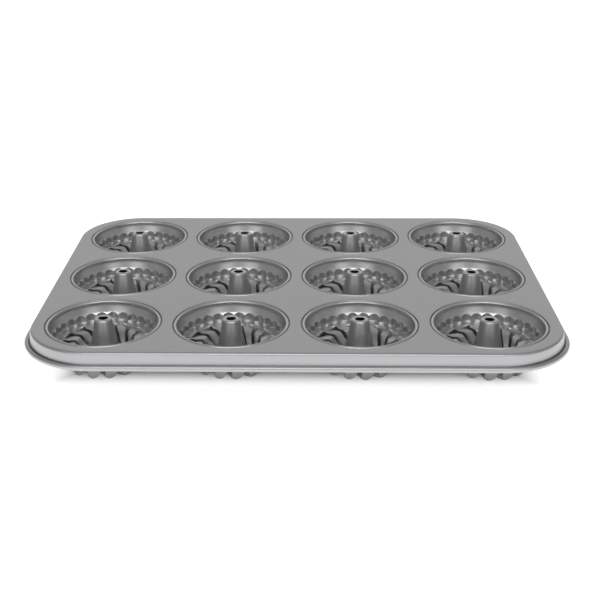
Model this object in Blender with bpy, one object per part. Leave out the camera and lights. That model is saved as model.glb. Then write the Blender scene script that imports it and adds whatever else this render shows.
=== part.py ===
"""Mini fluted tube pan: a pressed steel tray with a wired hem and twelve separate fluted cups.

Metres, +Z up. The pan stands on the flats under its cups at z = 0, with its long side along X
and its front side towards -Y. The origin lies under the middle of the tray.
"""
import math

import bmesh
import bpy

MM = 0.001

# Layout of the cups: degrees by which each one is turned in its seat, back row first
CUP_TURNS = (
    (7.0, 12.0, 3.0, 9.0),
    (16.0, 22.3, 18.4, 6.0),
    (25.8, 20.2, 18.4, 5.1),
)
ROWS = len(CUP_TURNS)
COLUMNS = len(CUP_TURNS[0])
CUP_LAND = 3.3 * MM          # flat land between two neighbouring seats
EDGE_LAND = 6.4 * MM         # flat land between a seat and the tray's shoulder

# Sheet, wire and fits
SHEET = 0.5 * MM
SEAM_GAP = 0.3 * MM          # between the cup's hooked rim and the tray's collar
WIRE_RADIUS = 0.9 * MM
WIRE_CLEARANCE = 0.4 * MM    # between the wire and the inside of the hem
HEM_SLOT = 0.4 * MM          # between the hem's cut edge and the skirt

# Tray
CORNER_RADIUS = 37.5 * MM
SHOULDER_RADIUS = 1.8 * MM
SKIRT_HEIGHT = 9.25 * MM
SKIRT_FLARE = math.radians(11.3)
SEAT_WIDTH = 2.5 * MM        # the soft dish outside a cup's rim
SEAT_DEPTH = 1.6 * MM
COLLAR_HEIGHT = 0.8 * MM     # the turned-up edge inside the cup's hook

# Cup, measured on its inner surface
MOUTH_RADIUS = 35.0 * MM
CUP_DEPTH = 29.0 * MM        # tray top to the flats that the pan stands on
HOOK_HEIGHT = 0.9 * MM
LOBES = 14
SCALLOPS_PER_LOBE = 2

# Section of a cup: reach is the share of the way from the wall to the tube's foot,
# rise is the height of the underside as a share of the cup's depth
HOLLOW_REACH = 0.038
HOLLOW_RISE = 0.745          # where the smooth band ends and the scallops begin
NOSE_REACH = 0.11
NOSE_RISE = 0.669
FOOT_REACH = 0.013           # how much further in the scallops stand at their feet
FOOT_RISE = 0.545
RIB_START_REACH = 0.213
RIB_START_RISE = 0.531
SHELF_REACH = 0.289          # edge where the wall of a lobe turns down
SHELF_RISE = 0.49
FLAT_START_REACH = 0.438
RIB_BEND_REACH = 0.647       # where a long rib's crest turns down towards the tube
RIB_BEND_RISE = 0.445
FLAT_END_REACH = 0.715
RIB_TAIL_REACH = 0.83
RIB_TAIL_RISE = 0.148
TUBE_FOOT_RISE = 0.086

# Shares of a lobe's pitch, from the middle of a long rib
RIB_SIDE_OUTSIDE = 0.09
RIB_SIDE_INSIDE = 0.13
LOBE_SIDE = 0.25

# Swirl of the flutes about the cup's axis
SWIRL_AT_SHELF = math.radians(2.0)
SWIRL_AT_FLAT = math.radians(-3.5)
SWIRL_AT_BEND = math.radians(-13.5)
SWIRL_AT_FLAT_END = math.radians(-18.0)
SWIRL_AT_TAIL = math.radians(-25.0)

# Centre tube, measured on its outer surface
TUBE_RISE = 2.9 * MM         # above the tray's top
TUBE_TOP_RADIUS = 6.1 * MM
TUBE_FOOT_RADIUS = 12.0 * MM
VENT_RADIUS = 3.6 * MM

# Facets
RIM_SIDES = 24
TUBE_SIDES = 14
CORNER_STEPS = 6
SHOULDER_STEPS = 2
CURL_STEPS = 6
WIRE_SIDES = 6
SHARP_ANGLE = math.radians(35.0)
SHARE_TOLERANCE = 1e-9

# Sizes that follow from the ones above
WALL_RADIUS = MOUTH_RADIUS + SHEET
COLLAR_INNER = WALL_RADIUS + SEAM_GAP
COLLAR_OUTER = COLLAR_INNER + SHEET
HOOK_INNER = COLLAR_OUTER + SEAM_GAP
SEAT_RADIUS = HOOK_INNER + SHEET + SEAT_WIDTH
TROUGH_WIDTH = WALL_RADIUS - TUBE_FOOT_RADIUS
CUP_PITCH = 2 * SEAT_RADIUS + CUP_LAND
HALF_LENGTH = (COLUMNS - 1) * CUP_PITCH / 2 + SEAT_RADIUS + EDGE_LAND
HALF_WIDTH = (ROWS - 1) * CUP_PITCH / 2 + SEAT_RADIUS + EDGE_LAND
CURL_INNER = WIRE_RADIUS + WIRE_CLEARANCE
CURL_OUTER = CURL_INNER + SHEET
CURL_START_OUT = SKIRT_HEIGHT * math.tan(SKIRT_FLARE)
CURL_CENTRE_OUT = CURL_START_OUT + CURL_INNER * math.cos(SKIRT_FLARE)
CURL_CENTRE_Z = CUP_DEPTH - SKIRT_HEIGHT + CURL_INNER * math.sin(SKIRT_FLARE)


def clear_scene():
    for old in list(bpy.data.objects):
        bpy.data.objects.remove(old, do_unlink=True)


def steel(name, colour, roughness):
    material = bpy.data.materials.new(name)
    material.use_nodes = True
    shader = material.node_tree.nodes["Principled BSDF"]
    shader.inputs["Base Color"].default_value = (*colour, 1.0)
    shader.inputs["Metallic"].default_value = 1.0
    shader.inputs["Roughness"].default_value = roughness
    return material


def make_mesh(bm, name, material):
    mesh = bpy.data.meshes.new(name)
    bm.to_mesh(mesh)
    bm.free()
    mesh.shade_smooth()
    mesh.set_sharp_from_angle(angle=SHARP_ANGLE)
    mesh.materials.append(material)
    return mesh


def add_object(name, mesh, location=(0.0, 0.0, 0.0)):
    thing = bpy.data.objects.new(name, mesh)
    bpy.context.collection.objects.link(thing)
    thing.location = location
    return thing


def cup_centres():
    """Name, centre and turn of each cup, back row first."""
    for row, turns in enumerate(CUP_TURNS):
        for column, turn in enumerate(turns):
            x = (column - (COLUMNS - 1) / 2) * CUP_PITCH
            y = ((ROWS - 1) / 2 - row) * CUP_PITCH
            yield f"cup_r{row + 1}_c{column + 1}", x, y, math.radians(turn)


def ring(bm, stations):
    """Stations are (share of a turn, radius, height, swirl), in order round the axis."""
    shares = [station[0] for station in stations]
    verts = []
    for share, radius, height, swirl in stations:
        angle = 2 * math.pi * share + swirl
        verts.append(bm.verts.new((radius * math.cos(angle), radius * math.sin(angle), height)))
    return shares, verts


def round_ring(bm, sides, radius, height, swirl=0.0):
    return ring(bm, [(side / sides, radius, height, swirl) for side in range(sides)])


def bridge(bm, first, second):
    """Join two rings, whatever their counts, by stepping round both of them together.

    Going down a wall, the faces look towards the axis.
    """
    shares_a, verts_a = first
    shares_b, verts_b = second
    count_a = len(verts_a)
    count_b = len(verts_b)
    a = 0
    b = 0
    while a < count_a or b < count_b:
        next_a = shares_a[a + 1] if a + 1 < count_a else 1.0 + shares_a[0]
        next_b = shares_b[b + 1] if b + 1 < count_b else 1.0 + shares_b[0]
        corner_a = verts_a[a % count_a]
        corner_b = verts_b[b % count_b]
        step_a = b == count_b or (a < count_a and next_a <= next_b + SHARE_TOLERANCE)
        if step_a:
            bm.faces.new((corner_a, verts_a[(a + 1) % count_a], corner_b))
            a += 1
        else:
            bm.faces.new((corner_a, verts_b[(b + 1) % count_b], corner_b))
            b += 1


def spot(reach, rise):
    """Radius and height of a place on the cup's section."""
    return WALL_RADIUS - reach * TROUGH_WIDTH, rise * CUP_DEPTH


def scallop_ring(bm, hollow, nose):
    """Alternate hollows and noses, two scallops to a lobe, with a hollow over each long rib."""
    count = 2 * SCALLOPS_PER_LOBE * LOBES
    stations = []
    for step in range(count):
        radius, height = nose if step % 2 else hollow
        stations.append((step / count, radius, height, 0.0))
    return ring(bm, stations)


def lobe_ring(bm, rib, side):
    """Both edges of a long rib and both sides of a lobe; each is (share, radius, height, swirl)."""
    rib_share, *rib_place = rib
    side_share, *side_place = side
    stations = []
    for lobe in range(LOBES):
        stations.append(((lobe + rib_share) / LOBES, *rib_place))
        stations.append(((lobe + side_share) / LOBES, *side_place))
        stations.append(((lobe + 1 - side_share) / LOBES, *side_place))
        stations.append(((lobe + 1 - rib_share) / LOBES, *rib_place))
    return ring(bm, stations)


def tail_ring(bm):
    """Low ends of the long ribs and inner ends of the lobes' flats."""
    tail = (*spot(RIB_TAIL_REACH, RIB_TAIL_RISE), SWIRL_AT_TAIL)
    flat_end = (*spot(FLAT_END_REACH, 0.0), SWIRL_AT_FLAT_END)
    stations = []
    for lobe in range(LOBES):
        stations.append(((lobe + RIB_SIDE_INSIDE) / LOBES, *tail))
        stations.append(((lobe + 0.5) / LOBES, *flat_end))
        stations.append(((lobe + 1 - RIB_SIDE_INSIDE) / LOBES, *tail))
    return ring(bm, stations)


def cup_mesh(material):
    """The cup's outer skin, from the lip of its hooked rim down, under and up its tube."""
    bm = bmesh.new()
    crown = CUP_DEPTH - SHEET
    hollow = spot(HOLLOW_REACH, HOLLOW_RISE)
    hollow_foot = spot(HOLLOW_REACH + FOOT_REACH, FOOT_RISE)
    nose = spot(NOSE_REACH, NOSE_RISE)
    nose_foot = spot(NOSE_REACH + FOOT_REACH, FOOT_RISE)
    rib_start = (RIB_SIDE_OUTSIDE, *spot(RIB_START_REACH, RIB_START_RISE), SWIRL_AT_SHELF)
    shelf = (LOBE_SIDE, *spot(SHELF_REACH, SHELF_RISE), SWIRL_AT_SHELF)
    rib_bend = (RIB_SIDE_INSIDE, *spot(RIB_BEND_REACH, RIB_BEND_RISE), SWIRL_AT_BEND)
    flat_start = (LOBE_SIDE, *spot(FLAT_START_REACH, 0.0), SWIRL_AT_FLAT)
    foot = TUBE_FOOT_RISE * CUP_DEPTH
    tube_top = CUP_DEPTH + TUBE_RISE - SHEET
    rings = [
        round_ring(bm, RIM_SIDES, HOOK_INNER, CUP_DEPTH - HOOK_HEIGHT),
        round_ring(bm, RIM_SIDES, HOOK_INNER, crown),
        round_ring(bm, RIM_SIDES, WALL_RADIUS, crown),
        scallop_ring(bm, hollow, nose),
        scallop_ring(bm, hollow_foot, nose_foot),
        lobe_ring(bm, rib_start, shelf),
        lobe_ring(bm, rib_bend, flat_start),
        tail_ring(bm),
        round_ring(bm, TUBE_SIDES, TUBE_FOOT_RADIUS - SHEET, foot, SWIRL_AT_TAIL),
        round_ring(bm, TUBE_SIDES, TUBE_TOP_RADIUS - SHEET, tube_top, SWIRL_AT_TAIL),
        round_ring(bm, TUBE_SIDES, VENT_RADIUS, tube_top, SWIRL_AT_TAIL),
    ]
    for first, second in zip(rings, rings[1:]):
        bridge(bm, first, second)
    return make_mesh(bm, "fluted_cup", material)


def build_cups(material):
    mesh = cup_mesh(material)
    for name, x, y, turn in cup_centres():
        cup = add_object(name, mesh, (x, y, 0.0))
        cup.rotation_euler = (0.0, 0.0, turn)
        sheet = cup.modifiers.new("sheet", "SOLIDIFY")
        sheet.thickness = SHEET
        sheet.offset = 1.0
        sheet.use_even_offset = True
        sheet.use_quality_normals = True


def outline_ring(bm, out, height):
    """The tray's rounded outline, moved outwards by out."""
    radius = CORNER_RADIUS + out
    count = 4 * (CORNER_STEPS + 1)
    verts = []
    for quarter in range(4):
        x_sign = 1 if quarter in (0, 3) else -1
        y_sign = 1 if quarter in (0, 1) else -1
        x_centre = x_sign * (HALF_LENGTH - CORNER_RADIUS)
        y_centre = y_sign * (HALF_WIDTH - CORNER_RADIUS)
        for step in range(CORNER_STEPS + 1):
            angle = math.pi / 2 * (quarter + step / CORNER_STEPS)
            x = x_centre + radius * math.cos(angle)
            y = y_centre + radius * math.sin(angle)
            verts.append(bm.verts.new((x, y, height)))
    return [index / count for index in range(count)], verts


def edge_section():
    """The tray's shoulder, skirt and curled hem as (out, height) points: top side, underside."""
    turn = math.pi / 2 - SKIRT_FLARE
    tangent = SHOULDER_RADIUS * math.tan(turn / 2)
    top_side = []
    underside = []
    for step in range(SHOULDER_STEPS + 1):
        angle = turn * step / SHOULDER_STEPS
        for side, radius in ((top_side, SHOULDER_RADIUS), (underside, SHOULDER_RADIUS - SHEET)):
            out = radius * math.sin(angle) - tangent
            side.append((out, CUP_DEPTH - SHOULDER_RADIUS + radius * math.cos(angle)))
    start = math.pi + SKIRT_FLARE
    end = SKIRT_FLARE + 2 * math.pi + math.acos(-(CURL_INNER - HEM_SLOT) / CURL_OUTER)
    for step in range(CURL_STEPS + 1):
        angle = start + (end - start) * step / CURL_STEPS
        for side, radius in ((top_side, CURL_INNER), (underside, CURL_OUTER)):
            out = CURL_CENTRE_OUT + radius * math.cos(angle)
            side.append((out, CURL_CENTRE_Z + radius * math.sin(angle)))
    return top_side, underside


def seat_section():
    """The dished seat and standing collar round a hole as (radius, height) points."""
    seat = CUP_DEPTH - SEAT_DEPTH
    collar_top = seat + COLLAR_HEIGHT
    return [
        (SEAT_RADIUS, CUP_DEPTH),
        (COLLAR_OUTER, seat),
        (COLLAR_OUTER, collar_top),
        (COLLAR_INNER, collar_top),
        (COLLAR_INNER, seat - SHEET),
        (SEAT_RADIUS, CUP_DEPTH - SHEET),
    ]


def seat_rings(bm, x_centre, y_centre):
    rings = []
    for radius, height in seat_section():
        shares, verts = round_ring(bm, RIM_SIDES, radius, height)
        for vert in verts:
            vert.co.x += x_centre
            vert.co.y += y_centre
        rings.append((shares, verts))
    return rings


def fill_sheet(bm, outline, holes):
    """Flat sheet between the tray's outline and the rims of its seats."""
    edges = []
    for verts in [outline] + holes:
        for index, vert in enumerate(verts):
            following = verts[(index + 1) % len(verts)]
            edge = bm.edges.get((vert, following)) or bm.edges.new((vert, following))
            edges.append(edge)
    bmesh.ops.triangle_fill(bm, use_beauty=True, edges=edges)


def build_tray(material):
    bm = bmesh.new()
    top_side, underside = edge_section()
    rings = [outline_ring(bm, out, height) for out, height in top_side + underside[::-1]]
    for first, second in zip(rings, rings[1:]):
        bridge(bm, first, second)
    top_holes = []
    under_holes = []
    for name, x, y, turn in cup_centres():
        seat = seat_rings(bm, x, y)
        for first, second in zip(seat, seat[1:]):
            bridge(bm, first, second)
        top_holes.append(seat[0][1])
        under_holes.append(seat[-1][1])
    fill_sheet(bm, rings[0][1], top_holes)
    fill_sheet(bm, rings[-1][1], under_holes)
    bmesh.ops.recalc_face_normals(bm, faces=bm.faces)
    add_object("tray_plate", make_mesh(bm, "tray_plate", material))


def build_wire(material):
    bm = bmesh.new()
    rings = []
    for side in range(WIRE_SIDES):
        angle = 2 * math.pi * (side + 0.5) / WIRE_SIDES
        out = CURL_CENTRE_OUT + WIRE_RADIUS * math.cos(angle)
        rings.append(outline_ring(bm, out, CURL_CENTRE_Z + WIRE_RADIUS * math.sin(angle)))
    for first, second in zip(rings, rings[1:] + rings[:1]):
        bridge(bm, first, second)
    bmesh.ops.recalc_face_normals(bm, faces=bm.faces)
    add_object("rim_wire", make_mesh(bm, "rim_wire", material))


def main():
    clear_scene()
    build_tray(steel("tray_steel", (0.33, 0.33, 0.34), 0.42))
    build_wire(steel("wire_steel", (0.45, 0.45, 0.46), 0.35))
    build_cups(steel("cup_steel", (0.42, 0.42, 0.43), 0.28))


main()
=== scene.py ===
import math

import bmesh
import bpy
import numpy as np
from mathutils import Matrix, Vector


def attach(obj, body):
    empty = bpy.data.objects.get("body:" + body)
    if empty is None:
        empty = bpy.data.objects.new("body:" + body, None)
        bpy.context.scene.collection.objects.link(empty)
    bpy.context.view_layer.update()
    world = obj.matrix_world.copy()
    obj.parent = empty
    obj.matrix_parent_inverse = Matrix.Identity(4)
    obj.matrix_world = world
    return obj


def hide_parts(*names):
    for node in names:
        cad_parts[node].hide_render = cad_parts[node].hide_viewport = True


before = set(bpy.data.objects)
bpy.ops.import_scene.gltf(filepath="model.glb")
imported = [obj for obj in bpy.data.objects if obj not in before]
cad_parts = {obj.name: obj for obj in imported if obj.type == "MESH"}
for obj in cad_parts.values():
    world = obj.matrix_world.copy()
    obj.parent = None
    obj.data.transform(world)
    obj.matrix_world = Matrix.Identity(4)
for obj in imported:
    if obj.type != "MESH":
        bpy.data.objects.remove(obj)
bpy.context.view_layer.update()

MM = 0.001

# Layout, as in the frame
COLUMNS = 4
ROWS = 3
CUP_PITCH = 82.5 * MM
PLATE_TOP = 29.0 * MM        # height of the tray's top above the flats that the pan stands on
SHEET = 0.5 * MM
# Degrees by which each cup is turned in its seat, back row first
CUP_TURNS = (
    (7.0, 12.0, 3.0, 9.0),
    (16.0, 22.3, 18.4, 6.0),
    (25.8, 20.2, 18.4, 5.1),
)

# Tray outline and edge
HALF_LENGTH = 169.65 * MM
HALF_WIDTH = 128.4 * MM
CORNER_RADIUS = 44.0 * MM
CORNER_STEPS = 28
FLAT_STRIP = 2.0 * MM        # flat strip inside the shoulder
SHOULDER_RADIUS = 1.8 * MM
SHOULDER_STEPS = 8
SKIRT_HEIGHT = 9.25 * MM
SKIRT_FLARE = math.radians(8.5)
SKIRT_STEPS = 3

# Hem, curled round its wire
WIRE_RADIUS = 0.9 * MM
WIRE_SIDES = 16
WIRE_CLEARANCE = 0.4 * MM
HEM_SLOT = 0.4 * MM
CURL_STEPS = 22
CURL_INNER = WIRE_RADIUS + WIRE_CLEARANCE
CURL_OUTER = CURL_INNER + SHEET
CURL_CENTRE_OUT = SKIRT_HEIGHT * math.tan(SKIRT_FLARE) + CURL_INNER * math.cos(SKIRT_FLARE)
CURL_CENTRE_Z = PLATE_TOP - SKIRT_HEIGHT + CURL_INNER * math.sin(SKIRT_FLARE)

# Edge of the tray round a cup: radius and depth below its top, in mm, on the upper and the lower side
SEAT_SIDES = 96
SEAT_TOP = (
    (40.8, 0.0), (39.6, 0.03), (38.8, 0.1), (38.2, 0.18), (37.92, 0.25), (37.75, 0.38), (37.68, 0.6),
    (37.66, 1.1), (37.65, 1.45), (37.5, 1.6), (36.5, 1.6), (36.3, 1.45), (36.3, 0.9), (36.2, 0.8),
)
SEAT_UNDER = (
    (35.9, 0.8), (35.8, 0.9), (35.8, 1.8), (36.1, 2.1), (37.8, 2.1), (38.1, 1.9), (38.17, 1.5),
    (38.22, 1.0), (38.5, 0.76), (39.0, 0.64), (39.8, 0.53), (40.8, 0.5),
)

# Rim of a cup, its short upright wall and the cove below
MOUTH_RADIUS = 35.0 * MM
BEAD_RADIUS = 1.05 * MM      # half the width of the hooked rim
BEAD_STEPS = 9
BEAD_SINK = 0.1 * MM         # how far the bead's crown lies below the tray's top
LIP_DROP = 0.3 * MM          # how far the hook's lip hangs below the bead's middle
UPRIGHT_ROW = 1.8 * MM       # depth of a mesh row on the upright wall
COVE_TOP = 2.6 * MM
COVE_DRAFT = 1.35 * MM       # how far the cove's lower end stands in from its top
COVE_POWER = 1.2
COVE_STEPS = 6
BAND_DEPTH = 7.4 * MM        # depth of the smooth band's lower end, below the tray's top
BAND_END = MOUTH_RADIUS - COVE_DRAFT

# Scallops: the wall's round hollows, with an arch over each and a spandrel between two arches
SCALLOPS = 28
SCALLOP_RADIUS = 33.6 * MM   # at a scallop's deepest line
SCALLOP_CURVE = 5.6 * MM
SCALLOP_DRAFT = 0.05
SPANDREL_SLOPE = 0.81        # run over drop
CREASE = 0.28 * MM           # softening of an arch's edge
CREASE_SHARE = 0.2           # most that the softening may take of the arch's drop
CREASE_OUT = 0.18            # middle of the softened edge, as shares of the softening
CREASE_DOWN = 0.1

# Ledge under the scallops
LEDGE_DEPTH = 12.6 * MM
LEDGE_FILLET = 0.5 * MM
LEDGE_FILLET_SHARE = 0.8     # most that the fillet may take of the ledge's width
LEDGE_RADIUS = 31.0 * MM     # inner end
LEDGE_FALL = 0.3 * MM

# Lobes: a long rib and a pocket each
LOBES = 14
LOBE_ANGLE = 2 * math.pi / LOBES
LOBE_BLEND = 2.2 * MM        # run in which the mesh columns move from the scallops to the ribs
RIB_EDGE = 0.3 * MM          # radius of a rib's two long edges
FLANK_RUN = 0.03             # horizontal run of a flank over its drop, at most
RIB_LEAN = math.radians(8.0)  # turn of a pocket's bottom against the crests beside it
RIB_HEIGHT = 15.5 * MM       # drop from a crest to the bottom, where the lean is full
VALLEY_FILLET = 1.6 * MM
SHALLOW_DROP = 2.5 * MM      # a pocket less deep than this is blended towards a smooth wave
# Most that crest, edge, flank and fillet may take of the room left for them in half a lobe
CREST_SHARE = 0.68
EDGE_SHARE = 0.3
FLANK_SHARE = 0.55
FILLET_SHARE = 0.8
# Share of the drop reached at each mesh column, from a rib's middle to a pocket's middle
COLUMN_FALL = (0.0, 0.0, 0.02, 0.07, 0.2, 0.5, 0.84, 0.95, 0.99, 1.0, 1.0)
HALF_COLUMNS = len(COLUMN_FALL)
# Radii of the mesh rows, in mm
LOBE_RADII = (
    31.0, 30.4, 29.8, 29.2, 28.7, 28.3, 28.0, 27.75, 27.5, 27.25, 27.0, 26.7, 26.3, 25.9, 25.5,
    25.15, 24.8, 24.4, 23.8, 23.0, 22.2, 21.4, 20.7, 20.1, 19.6, 19.2, 18.9, 18.6, 18.3, 18.0,
    17.6, 17.1, 16.5, 15.8, 15.1, 14.4, 13.7, 13.2, 12.9,
)
# Depth of a rib's crest and of a pocket's middle below the tray's top, against radius, in mm
RIB_CREST = (
    (31.0, 12.8), (27.5, 12.6), (24.0, 12.6), (21.0, 12.9), (19.3, 13.4), (18.3, 14.9),
    (17.3, 17.4), (15.6, 21.0), (14.0, 24.2), (12.6, 26.2),
)
POCKET = (
    (31.0, 12.9), (29.2, 13.3), (28.0, 13.8), (27.6, 14.8), (27.2, 17.2), (26.6, 21.2), (25.9, 25.3),
    (25.2, 27.5), (23.8, 28.4), (21.5, 28.5), (18.5, 28.5), (15.5, 28.0), (13.6, 27.2), (12.6, 26.3),
)
# Half a rib's width against radius, in mm
RIB_HALF = (
    (31.0, 1.5), (27.5, 1.2), (25.7, 1.3), (23.8, 2.4), (21.5, 3.0), (19.5, 3.0), (18.5, 2.9),
    (17.3, 2.6), (16.0, 2.1), (14.0, 1.6), (12.6, 1.4),
)
# Turn of a rib against radius in mm: degrees, clockwise seen from above
SWIRL = (
    (31.0, 0.0), (27.5, 1.0), (24.8, 3.0), (21.6, 8.5), (18.5, 13.5), (17.3, 18.0), (15.6, 25.0),
    (14.0, 31.0), (12.2, 36.0),
)

# Centre tube
TUBE_TOP = 2.9 * MM          # above the tray's top
TUBE_SHOULDER = 1.2 * MM
TUBE_SHOULDER_STEPS = 5
TUBE_BLEND_ROWS = 3          # rows in which the mesh columns move from the ribs to even steps
VENT_RADIUS = 3.05 * MM
VENT_EDGE = 0.35 * MM
VENT_LAND = 0.3 * MM         # flat strip round the vent's edge
VENT_STEPS = 3
# Radius of the wall against depth below the tray's top, and the depths of the mesh rows, in mm
TUBE_WALL = (
    (-1.6, 5.75), (0.0, 6.05), (5.0, 6.95), (10.0, 7.9), (15.0, 8.9), (20.0, 10.0), (24.0, 11.2),
    (26.3, 12.4),
)
TUBE_DEPTHS = (25.6, 24.6, 23.0, 20.5, 17.5, 14.0, 10.0, 6.0, 2.5, 0.0)

# Steel and shading
SHARP_FOLD = math.radians(50.0)
MOTTLING_SCALE = 45.0
GRAIN_SCALE = 2600.0
GRAIN_HEIGHT = 0.05 * MM

# Floor: pale, with a painted glow beside the tray that lifts the shade round it and fades out under it
FLOOR_REACH = 6.0
FLOOR_GREY = 0.8
FLOOR_GLOW = 0.8
GLOW_START = -38.0 * MM      # measured outwards from the rectangle round the tray's top
GLOW_FULL = -12.0 * MM

# Studio: each lamp's place and size in metres and its watts, and the point that all of them face
SKY_STRENGTH = 0.36
LAMP_AIM = (0.0, 0.0, 0.0)
LAMPS = (
    ("back_panel", (0.0, 2.2, 1.1), (4.0, 1.4), 7.0),
    ("front_low", (0.0, -2.2, 0.12), (3.2, 0.45), 1.8),
    ("front_left", (-1.0, -1.9, 0.7), (1.2, 0.8), 3.6),
    ("front_right", (1.0, -1.9, 0.7), (1.2, 0.8), 3.6),
    ("front_high", (0.0, -1.15, 1.65), (1.6, 0.6), 11.0),
)

# Camera of the photograph: lens and centre in pixels, and angles in radians
FRAME_PIXELS = 600
CENTRE_PIXEL = 275
LENS_PIXELS = 1073.83
YAW = -0.030322
PITCH_DOWN = 0.400486
ROLL = -0.00884
# The tray's top centre as the camera sees it: right, down and ahead, fitted with a smaller cup pitch
FITTED_PITCH = 80.0 * MM
TRAY_FROM_CAMERA = (14.838398 * MM, -17.157733 * MM, 741.351143 * MM)


def smoothstep(value):
    value = np.clip(value, 0.0, 1.0)
    return value * value * (3.0 - 2.0 * value)


def curve_through(points, at):
    """Monotone curve through (position, value) points, read at the given positions."""
    x, y = np.array(sorted(points)).T
    step = np.diff(x)
    slope = np.diff(y) / step
    tangent = np.zeros_like(y)
    tangent[0] = slope[0]
    tangent[-1] = slope[-1]
    for i in range(1, len(x) - 1):
        if slope[i - 1] * slope[i] > 0:
            before = 2 * step[i] + step[i - 1]
            after = step[i] + 2 * step[i - 1]
            tangent[i] = (before + after) / (before / slope[i - 1] + after / slope[i])
    at = np.clip(at, x[0], x[-1])
    cell = np.clip(np.searchsorted(x, at, side="right") - 1, 0, len(x) - 2)
    t = (at - x[cell]) / step[cell]
    start = (1 + 2 * t) * (1 - t) ** 2 * y[cell] + t * (1 - t) ** 2 * step[cell] * tangent[cell]
    end = t * t * (3 - 2 * t) * y[cell + 1] + t * t * (t - 1) * step[cell] * tangent[cell + 1]
    return start + end


def profile_row(radius, depth, share, turn=0.0):
    """A row of the cup's inner surface: values at the mesh columns of half a lobe."""
    return [np.broadcast_to(value, HALF_COLUMNS).astype(float) for value in (radius, depth, share, turn)]


def rim_rows(shares):
    """Hooked rim from its lip over the crown, the upright wall and the cove."""
    middle = MOUTH_RADIUS + BEAD_RADIUS
    rows = [profile_row(middle + BEAD_RADIUS, BEAD_RADIUS + LIP_DROP, shares)]
    for step in range(BEAD_STEPS + 1):
        angle = math.pi * step / BEAD_STEPS
        radius = middle + BEAD_RADIUS * math.cos(angle)
        rows.append(profile_row(radius, BEAD_SINK + BEAD_RADIUS * (1 - math.sin(angle)), shares))
    for depth in (UPRIGHT_ROW, COVE_TOP):
        rows.append(profile_row(MOUTH_RADIUS, depth, shares))
    for step in range(1, COVE_STEPS + 1):
        t = step / COVE_STEPS
        radius = MOUTH_RADIUS - COVE_DRAFT * t ** COVE_POWER
        rows.append(profile_row(radius, COVE_TOP + (BAND_DEPTH - COVE_TOP) * t, shares))
    return rows


def wall_rows(shares):
    """Scalloped wall, from the smooth band down the spandrels and scallops, and the ledge under it."""
    half_scallop = math.pi / SCALLOPS * SCALLOP_RADIUS
    offset = np.minimum(shares, 0.5 - shares) / 0.25 * half_scallop
    face = SCALLOP_RADIUS - SCALLOP_CURVE + np.sqrt(SCALLOP_CURVE ** 2 - offset ** 2)
    arch_drop = (BAND_END - face) / SPANDREL_SLOPE
    arch_depth = BAND_DEPTH + arch_drop
    rows = []
    for t in (0.25, 0.5, 0.75):
        rows.append(profile_row(BAND_END - (BAND_END - face) * t, BAND_DEPTH + arch_drop * t, shares))
    crease = np.minimum(CREASE, arch_drop * CREASE_SHARE)
    rows.append(profile_row(face + SPANDREL_SLOPE * crease, arch_depth - crease, shares))
    rows.append(profile_row(face + CREASE_OUT * crease, arch_depth + CREASE_DOWN * crease, shares))
    rows.append(profile_row(face - SCALLOP_DRAFT * CREASE, arch_depth + CREASE, shares))
    foot = LEDGE_DEPTH - LEDGE_FILLET
    for t in (0.33, 0.66, 1.0):
        depth = arch_depth + CREASE + (foot - arch_depth - CREASE) * t
        rows.append(profile_row(face - SCALLOP_DRAFT * (depth - arch_depth), depth, shares))
    wall_foot = face - SCALLOP_DRAFT * (foot - arch_depth)
    reach = np.minimum(LEDGE_FILLET, (wall_foot - LEDGE_RADIUS) * LEDGE_FILLET_SHARE)
    for degrees in (30, 60, 85):
        angle = math.radians(degrees)
        radius = wall_foot - reach * (1 - math.cos(angle))
        rows.append(profile_row(radius, foot + LEDGE_FILLET * math.sin(angle), shares))
    ledge_start = wall_foot - reach
    for t in (0.4, 0.75):
        radius = ledge_start + (LEDGE_RADIUS - ledge_start) * t
        rows.append(profile_row(radius, LEDGE_DEPTH + LEDGE_FALL * t, shares))
    return rows


def lobe_section(half_pitch, drop, half_width):
    """Distances of the mesh columns from a rib's middle, and the share of the drop at each."""
    top = min(half_width, CREST_SHARE * half_pitch)
    edge = min(RIB_EDGE, EDGE_SHARE * half_pitch)
    run = min(FLANK_RUN * drop, FLANK_SHARE * (half_pitch - top - edge)) + edge
    foot = top + run
    fillet = min(VALLEY_FILLET, FILLET_SHARE * (half_pitch - foot))
    distances = np.array([
        0.0, 0.5 * top, top - 0.35 * edge, top, top + 0.45 * edge, top + 0.5 * run + 0.25 * edge,
        foot, foot + 0.35 * fillet, foot + fillet, 0.5 * (foot + fillet + half_pitch), half_pitch])
    fall = np.array(COLUMN_FALL)
    if drop < SHALLOW_DROP:
        blend = drop / SHALLOW_DROP
        even = np.linspace(0.0, half_pitch, HALF_COLUMNS)
        distances = distances * blend + even * (1 - blend)
        fall = fall * blend + smoothstep(even / half_pitch) * (1 - blend)
    return distances, fall


def swirl(radii):
    """Turn of the ribs at radii in mm, in radians."""
    return -np.radians(curve_through(SWIRL, radii))


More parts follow.
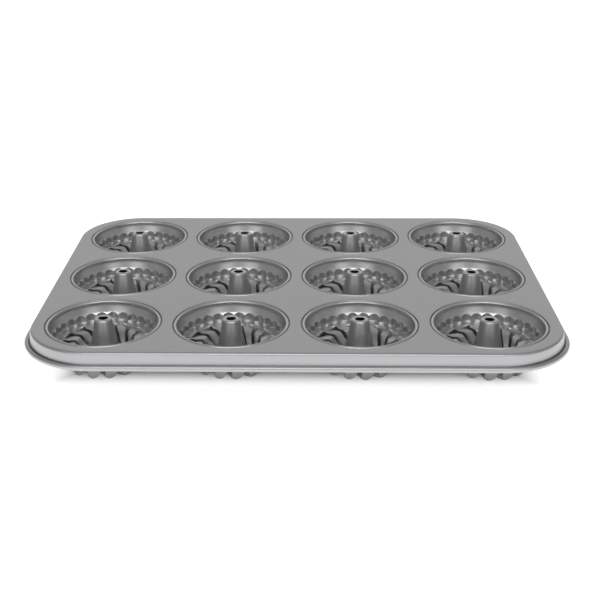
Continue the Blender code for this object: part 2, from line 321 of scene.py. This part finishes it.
def lobe_rows(shares):
    """Ribs and pockets, from the ledge to the tube's foot."""
    radii = np.array(LOBE_RADII) * MM
    crest = curve_through(RIB_CREST, LOBE_RADII) * MM
    valley = curve_through(POCKET, LOBE_RADII) * MM
    half_width = curve_through(RIB_HALF, LOBE_RADII) * MM
    turn = swirl(LOBE_RADII)
    slant = np.sqrt(1 + (radii * np.gradient(turn, radii)) ** 2)
    rows = []
    for row, radius in enumerate(radii):
        half_pitch = math.pi * radius / LOBES / slant[row]
        drop = max(valley[row] - crest[row], 0.0)
        distances, fall = lobe_section(half_pitch, drop, half_width[row])
        mix = smoothstep((LEDGE_RADIUS - radius) / LOBE_BLEND)
        share = distances / half_pitch * 0.5 * mix + shares * (1 - mix)
        lean = RIB_LEAN * fall * drop / RIB_HEIGHT
        rows.append(profile_row(radius, crest[row] + drop * fall, share, turn[row] * mix - lean))
    return rows


def tube_rows(shares, foot_share):
    """Tube from its foot to its shoulder, its flat top and the rounded edge of the vent."""
    turn = swirl(LOBE_RADII)[-1]
    rows = []
    for step, (depth, radius) in enumerate(zip(TUBE_DEPTHS, curve_through(TUBE_WALL, TUBE_DEPTHS))):
        mix = min(1.0, (step + 1) / TUBE_BLEND_ROWS)
        rows.append(profile_row(radius * MM, depth * MM, shares * mix + foot_share * (1 - mix), turn))
    shoulder_depth = TUBE_SHOULDER - TUBE_TOP
    start = curve_through(TUBE_WALL, [shoulder_depth / MM])[0] * MM
    for step in range(TUBE_SHOULDER_STEPS + 1):
        angle = math.pi / 2 * step / TUBE_SHOULDER_STEPS
        radius = start - TUBE_SHOULDER * (1 - math.cos(angle))
        rows.append(profile_row(radius, shoulder_depth - TUBE_SHOULDER * math.sin(angle), shares, turn))
    rows.append(profile_row(VENT_RADIUS + VENT_EDGE + VENT_LAND, -TUBE_TOP, shares, turn))
    for step in range(VENT_STEPS + 1):
        angle = math.pi / 2 * step / VENT_STEPS
        radius = VENT_RADIUS + VENT_EDGE * (1 - math.sin(angle))
        rows.append(profile_row(radius, VENT_EDGE * (1 - math.cos(angle)) - TUBE_TOP, shares, turn))
    return rows


def cup_grid():
    """Points of the cup's inner surface: rows from the lip to the vent, closed round the axis."""
    shares = 0.5 * np.arange(HALF_COLUMNS) / (HALF_COLUMNS - 1)
    rows = rim_rows(shares) + wall_rows(shares) + lobe_rows(shares)
    foot_share = rows[-1][2]
    rows += tube_rows(shares, foot_share)
    grid = []
    for radius, depth, share, turn in rows:
        radius, depth, turn = (np.concatenate([half, half[-2:0:-1]]) for half in (radius, depth, turn))
        share = np.concatenate([share, 1.0 - share[-2:0:-1]])
        angles = ((np.arange(LOBES)[:, None] + share) * LOBE_ANGLE + turn).ravel()
        radius = np.tile(radius, LOBES)
        height = PLATE_TOP - np.tile(depth, LOBES)
        grid.append(np.stack([radius * np.cos(angles), radius * np.sin(angles), height], -1))
    return np.array(grid)


def grid_normals(grid):
    """Unit normals of a grid closed along its second axis, towards the cup's inside."""
    round_way = np.roll(grid, -1, 1) - np.roll(grid, 1, 1)
    down_way = np.gradient(grid, axis=0)
    normals = np.cross(round_way, down_way)
    length = np.linalg.norm(normals, axis=2, keepdims=True)
    return normals / np.maximum(length, 1e-12)


def shade(mesh, materials):
    """Smooth shading between the sharp folds, and the mesh's materials."""
    mesh.shade_smooth()
    mesh.set_sharp_from_angle(angle=SHARP_FOLD)
    for material in materials:
        mesh.materials.append(material)


def cup_mesh(inside, underside):
    """Both skins of the pressed sheet, joined at the lip and at the vent."""
    inner = cup_grid()
    outer = inner - grid_normals(inner) * SHEET
    outer[..., 2] = np.maximum(outer[..., 2], 0.0)
    row_count, columns = inner.shape[:2]
    points = np.concatenate([inner.reshape(-1, 3), outer.reshape(-1, 3)])
    offset = row_count * columns
    last = offset - columns
    faces = []
    for column in range(columns):
        after = (column + 1) % columns
        for start in range(0, last, columns):
            a = start + column
            b = start + after
            c = start + columns + after
            d = start + columns + column
            faces.append((a, b, c, d))
            faces.append((offset + d, offset + c, offset + b, offset + a))
        faces.append((column, offset + column, offset + after, after))
        faces.append((last + after, offset + last + after, offset + last + column, last + column))
    mesh = bpy.data.meshes.new("fluted_cup_skin")
    mesh.from_pydata([tuple(point) for point in points], [], faces)
    mesh.validate()
    shade(mesh, (inside, underside))
    # Faces of the outer skin take the darker underside material: painted shade for the shade under the
    # tray
    for face in mesh.polygons:
        face.material_index = int(min(face.vertices) >= offset)
    return mesh


def add_piece(name, mesh, location=(0.0, 0.0, 0.0), angle=0.0):
    piece = bpy.data.objects.new(name, mesh)
    bpy.context.collection.objects.link(piece)
    piece.location = location
    piece.rotation_euler = (0.0, 0.0, angle)
    return piece


def cup_places():
    """Row, column and centre of each cup, from the back left one on."""
    for row in range(ROWS):
        for column in range(COLUMNS):
            x = (column - (COLUMNS - 1) / 2) * CUP_PITCH
            y = ((ROWS - 1) / 2 - row) * CUP_PITCH
            yield row, column, x, y


def build_cups(inside, underside):
    mesh = cup_mesh(inside, underside)
    for row, column, x, y in cup_places():
        node = f"cup_r{row + 1}_c{column + 1}"
        piece = add_piece(f"fine_{node}", mesh, (x, y, 0.0), math.radians(CUP_TURNS[row][column]))
        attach(piece, "root")
        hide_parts(node)


def outline(out, height):
    """The tray's rounded outline, moved outwards by out."""
    radius = CORNER_RADIUS + out
    points = []
    for quarter in range(4):
        x_sign = 1 if quarter in (0, 3) else -1
        y_sign = 1 if quarter in (0, 1) else -1
        x_centre = x_sign * (HALF_LENGTH - CORNER_RADIUS)
        y_centre = y_sign * (HALF_WIDTH - CORNER_RADIUS)
        for step in range(CORNER_STEPS + 1):
            angle = math.pi / 2 * (quarter + step / CORNER_STEPS)
            x = x_centre + radius * math.cos(angle)
            y = y_centre + radius * math.sin(angle)
            points.append((x, y, height))
    return points


def edge_section():
    """Shoulder, skirt and curled hem as (out, height) points: top side, underside."""
    turn = math.pi / 2 - SKIRT_FLARE
    tangent = SHOULDER_RADIUS * math.tan(turn / 2)
    top_side = [(-tangent - FLAT_STRIP, PLATE_TOP)]
    underside = [(-tangent - FLAT_STRIP, PLATE_TOP - SHEET)]
    for step in range(SHOULDER_STEPS + 1):
        angle = turn * step / SHOULDER_STEPS
        for side, radius in ((top_side, SHOULDER_RADIUS), (underside, SHOULDER_RADIUS - SHEET)):
            out = radius * math.sin(angle) - tangent
            side.append((out, PLATE_TOP - SHOULDER_RADIUS + radius * math.cos(angle)))
    start = math.pi + SKIRT_FLARE
    end = SKIRT_FLARE + 2 * math.pi + math.acos(-(CURL_INNER - HEM_SLOT) / CURL_OUTER)
    curls = ([], [])
    for step in range(CURL_STEPS + 1):
        angle = start + (end - start) * step / CURL_STEPS
        for curl, radius in zip(curls, (CURL_INNER, CURL_OUTER)):
            out = CURL_CENTRE_OUT + radius * math.cos(angle)
            curl.append((out, CURL_CENTRE_Z + radius * math.sin(angle)))
    for side, curl in zip((top_side, underside), curls):
        (a_out, a_z), (b_out, b_z) = side[-1], curl[0]
        for step in range(1, SKIRT_STEPS):
            t = step / SKIRT_STEPS
            side.append((a_out + (b_out - a_out) * t, a_z + (b_z - a_z) * t))
        side.extend(curl)
    return top_side, underside


def add_ring(bm, points):
    return [bm.verts.new(point) for point in points]


def bridge_rings(bm, rings):
    """Bands of faces between each ring and the next."""
    for first, second in zip(rings, rings[1:]):
        for index in range(len(first)):
            after = (index + 1) % len(first)
            bm.faces.new((first[index], first[after], second[after], second[index]))


def seat_rings(bm, x, y):
    """Groove and standing collar round a hole, from the tray's upper side to its lower side."""
    rings = []
    for radius, depth in SEAT_TOP + SEAT_UNDER:
        points = []
        for side in range(SEAT_SIDES):
            angle = 2 * math.pi * side / SEAT_SIDES
            point_x = x + radius * MM * math.cos(angle)
            point_y = y + radius * MM * math.sin(angle)
            points.append((point_x, point_y, PLATE_TOP - depth * MM))
        rings.append(add_ring(bm, points))
    return rings


def fill_between(bm, outer, holes):
    """Flat faces inside the outer ring and outside the holes."""
    edges = []
    for verts in [outer] + holes:
        for index, vert in enumerate(verts):
            after = verts[(index + 1) % len(verts)]
            edges.append(bm.edges.get((vert, after)))
    bmesh.ops.triangle_fill(bm, use_beauty=True, edges=edges)


def finish_mesh(bm, name, material):
    bmesh.ops.recalc_face_normals(bm, faces=bm.faces)
    mesh = bpy.data.meshes.new(name)
    bm.to_mesh(mesh)
    bm.free()
    shade(mesh, (material,))
    return mesh


def build_tray(material):
    bm = bmesh.new()
    top_side, underside = edge_section()
    rings = [add_ring(bm, outline(out, height)) for out, height in top_side + underside[::-1]]
    bridge_rings(bm, rings)
    top_holes = []
    under_holes = []
    for row, column, x, y in cup_places():
        seat = seat_rings(bm, x, y)
        bridge_rings(bm, seat)
        top_holes.append(seat[0])
        under_holes.append(seat[-1])
    fill_between(bm, rings[0], top_holes)
    fill_between(bm, rings[-1], under_holes)
    piece = add_piece("fine_tray", finish_mesh(bm, "tray_skin", material))
    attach(piece, "root")
    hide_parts("tray_plate")


def build_wire(material):
    bm = bmesh.new()
    rings = []
    for side in range(WIRE_SIDES):
        angle = 2 * math.pi * side / WIRE_SIDES
        out = CURL_CENTRE_OUT + WIRE_RADIUS * math.cos(angle)
        rings.append(add_ring(bm, outline(out, CURL_CENTRE_Z + WIRE_RADIUS * math.sin(angle))))
    bridge_rings(bm, rings + rings[:1])
    piece = add_piece("fine_wire", finish_mesh(bm, "hem_wire", material))
    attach(piece, "root")
    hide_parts("rim_wire")


def steel(name, colour, roughness, grain, mottling):
    """Satin steel: slight mottling of the colour and roughness, and a fine grain in the bump."""
    material = bpy.data.materials.new(name)
    material.use_nodes = True
    nodes = material.node_tree.nodes
    links = material.node_tree.links
    shader = nodes["Principled BSDF"]
    shader.inputs["Metallic"].default_value = 1.0
    place = nodes.new("ShaderNodeTexCoord")
    broad = nodes.new("ShaderNodeTexNoise")
    broad.inputs["Scale"].default_value = MOTTLING_SCALE
    broad.inputs["Detail"].default_value = 4.0
    links.new(place.outputs["Object"], broad.inputs["Vector"])
    fine = nodes.new("ShaderNodeTexNoise")
    fine.inputs["Scale"].default_value = GRAIN_SCALE
    fine.inputs["Detail"].default_value = 2.0
    links.new(place.outputs["Object"], fine.inputs["Vector"])
    tint = nodes.new("ShaderNodeValToRGB")
    darkest, lightest = tint.color_ramp.elements
    darkest.position = 0.3
    darkest.color = (*[c * (1 - mottling) for c in colour], 1)
    lightest.position = 0.7
    lightest.color = (*[c * (1 + mottling) for c in colour], 1)
    links.new(broad.outputs["Fac"], tint.inputs["Fac"])
    links.new(tint.outputs["Color"], shader.inputs["Base Color"])
    rough = nodes.new("ShaderNodeMapRange")
    rough.inputs["To Min"].default_value = roughness * 0.85
    rough.inputs["To Max"].default_value = roughness * 1.15
    links.new(broad.outputs["Fac"], rough.inputs["Value"])
    links.new(rough.outputs["Result"], shader.inputs["Roughness"])
    bump = nodes.new("ShaderNodeBump")
    bump.inputs["Strength"].default_value = grain
    bump.inputs["Distance"].default_value = GRAIN_HEIGHT
    links.new(fine.outputs["Fac"], bump.inputs["Height"])
    links.new(bump.outputs["Normal"], shader.inputs["Normal"])
    return material


def math_node(tree, operation, first):
    """A math node with its first input linked."""
    node = tree.nodes.new("ShaderNodeMath")
    node.operation = operation
    tree.links.new(first, node.inputs[0])
    return node


def distance_outside(tree):
    """How far a point of the floor lies outside the rectangle round the tray's top, negative inside."""
    place = tree.nodes.new("ShaderNodeTexCoord")
    split = tree.nodes.new("ShaderNodeSeparateXYZ")
    tree.links.new(place.outputs["Object"], split.inputs["Vector"])
    beyond = []
    for axis, half in (("X", HALF_LENGTH), ("Y", HALF_WIDTH)):
        size = math_node(tree, "ABSOLUTE", split.outputs[axis])
        past = math_node(tree, "SUBTRACT", size.outputs[0])
        past.inputs[1].default_value = half
        beyond.append(past)
    farthest = math_node(tree, "MAXIMUM", beyond[0].outputs[0])
    tree.links.new(beyond[1].outputs[0], farthest.inputs[1])
    return farthest.outputs[0]


def floor_material():
    material = bpy.data.materials.new("pale_floor")
    material.use_nodes = True
    tree = material.node_tree
    shader = tree.nodes["Principled BSDF"]
    shader.inputs["Base Color"].default_value = (FLOOR_GREY, FLOOR_GREY, FLOOR_GREY, 1)
    shader.inputs["Roughness"].default_value = 0.9
    shader.inputs["Specular IOR Level"].default_value = 0.0
    shader.inputs["Emission Color"].default_value = (1.0, 1.0, 1.0, 1)
    # Painted light: the floor glows beside the tray to lift the shade there, and the glow fades out
    # under the tray
    glow = tree.nodes.new("ShaderNodeMapRange")
    glow.interpolation_type = "SMOOTHSTEP"
    glow.inputs["From Min"].default_value = GLOW_START
    glow.inputs["From Max"].default_value = GLOW_FULL
    glow.inputs["To Min"].default_value = 0.0
    glow.inputs["To Max"].default_value = FLOOR_GLOW
    tree.links.new(distance_outside(tree), glow.inputs["Value"])
    tree.links.new(glow.outputs["Result"], shader.inputs["Emission Strength"])
    return material


def build_floor():
    corners = [(-FLOOR_REACH, -FLOOR_REACH, 0.0), (FLOOR_REACH, -FLOOR_REACH, 0.0),
               (FLOOR_REACH, FLOOR_REACH, 0.0), (-FLOOR_REACH, FLOOR_REACH, 0.0)]
    mesh = bpy.data.meshes.new("floor")
    mesh.from_pydata(corners, [], [(0, 1, 2, 3)])
    mesh.materials.append(floor_material())
    floor = add_piece("floor", mesh)


def light_studio():
    bpy.context.scene.view_settings.view_transform = "Standard"
    world = bpy.data.worlds.new("studio")
    bpy.context.scene.world = world
    world.use_nodes = True
    background = world.node_tree.nodes["Background"]
    background.inputs["Color"].default_value = (1.0, 1.0, 1.0, 1.0)
    background.inputs["Strength"].default_value = SKY_STRENGTH
    for name, place, size, watts in LAMPS:
        light = bpy.data.lights.new(name, "AREA")
        light.shape = "RECTANGLE"
        light.size, light.size_y = size
        light.energy = watts
        lamp = bpy.data.objects.new(name, light)
        bpy.context.collection.objects.link(lamp)
        lamp.location = place
        lamp.rotation_euler = (Vector(LAMP_AIM) - Vector(place)).to_track_quat("-Z", "Y").to_euler()
        lamp.visible_camera = False


def place_camera():
    data = bpy.data.cameras.new("camera")
    camera = bpy.data.objects.new("camera", data)
    bpy.context.collection.objects.link(camera)
    bpy.context.scene.camera = camera
    cy, sy = math.cos(YAW), math.sin(YAW)
    cp, sp = math.cos(PITCH_DOWN), math.sin(PITCH_DOWN)
    cr, sr = math.cos(ROLL), math.sin(ROLL)
    turn = np.array([[cy, -sy, 0], [sy, cy, 0], [0, 0, 1]])
    base = np.array([[1, 0, 0], [0, 0, -1], [0, 1, 0]])
    tilt = np.array([[1, 0, 0], [0, cp, -sp], [0, sp, cp]])
    bank = np.array([[cr, -sr, 0], [sr, cr, 0], [0, 0, 1]])
    view = bank @ tilt @ base @ turn
    place = -view.T @ np.array(TRAY_FROM_CAMERA) * CUP_PITCH / FITTED_PITCH
    place[2] += PLATE_TOP
    rows = [[view[0][i], -view[1][i], -view[2][i], place[i]] for i in range(3)]
    camera.matrix_world = Matrix(rows + [[0, 0, 0, 1]])
    data.sensor_width = 36.0
    data.lens = data.sensor_width * LENS_PIXELS / FRAME_PIXELS
    data.shift_x = (FRAME_PIXELS / 2 - CENTRE_PIXEL) / FRAME_PIXELS
    data.clip_end = 50.0


def main():
    place_camera()
    build_floor()
    light_studio()
    build_tray(steel("satin_tray", (0.47, 0.47, 0.48), roughness=0.40, grain=0.1, mottling=0.02))
    build_wire(steel("drawn_wire", (0.45, 0.45, 0.46), roughness=0.35, grain=0.1, mottling=0.03))
    # The cups' outer skin is the same steel painted about half as bright: painted shade for the shade
    # under the tray
    build_cups(steel("bright_cup", (0.54, 0.54, 0.545), roughness=0.34, grain=0.05, mottling=0.03),
               steel("shaded_underside", (0.27, 0.27, 0.275), roughness=0.45, grain=0.1, mottling=0.05))


main()
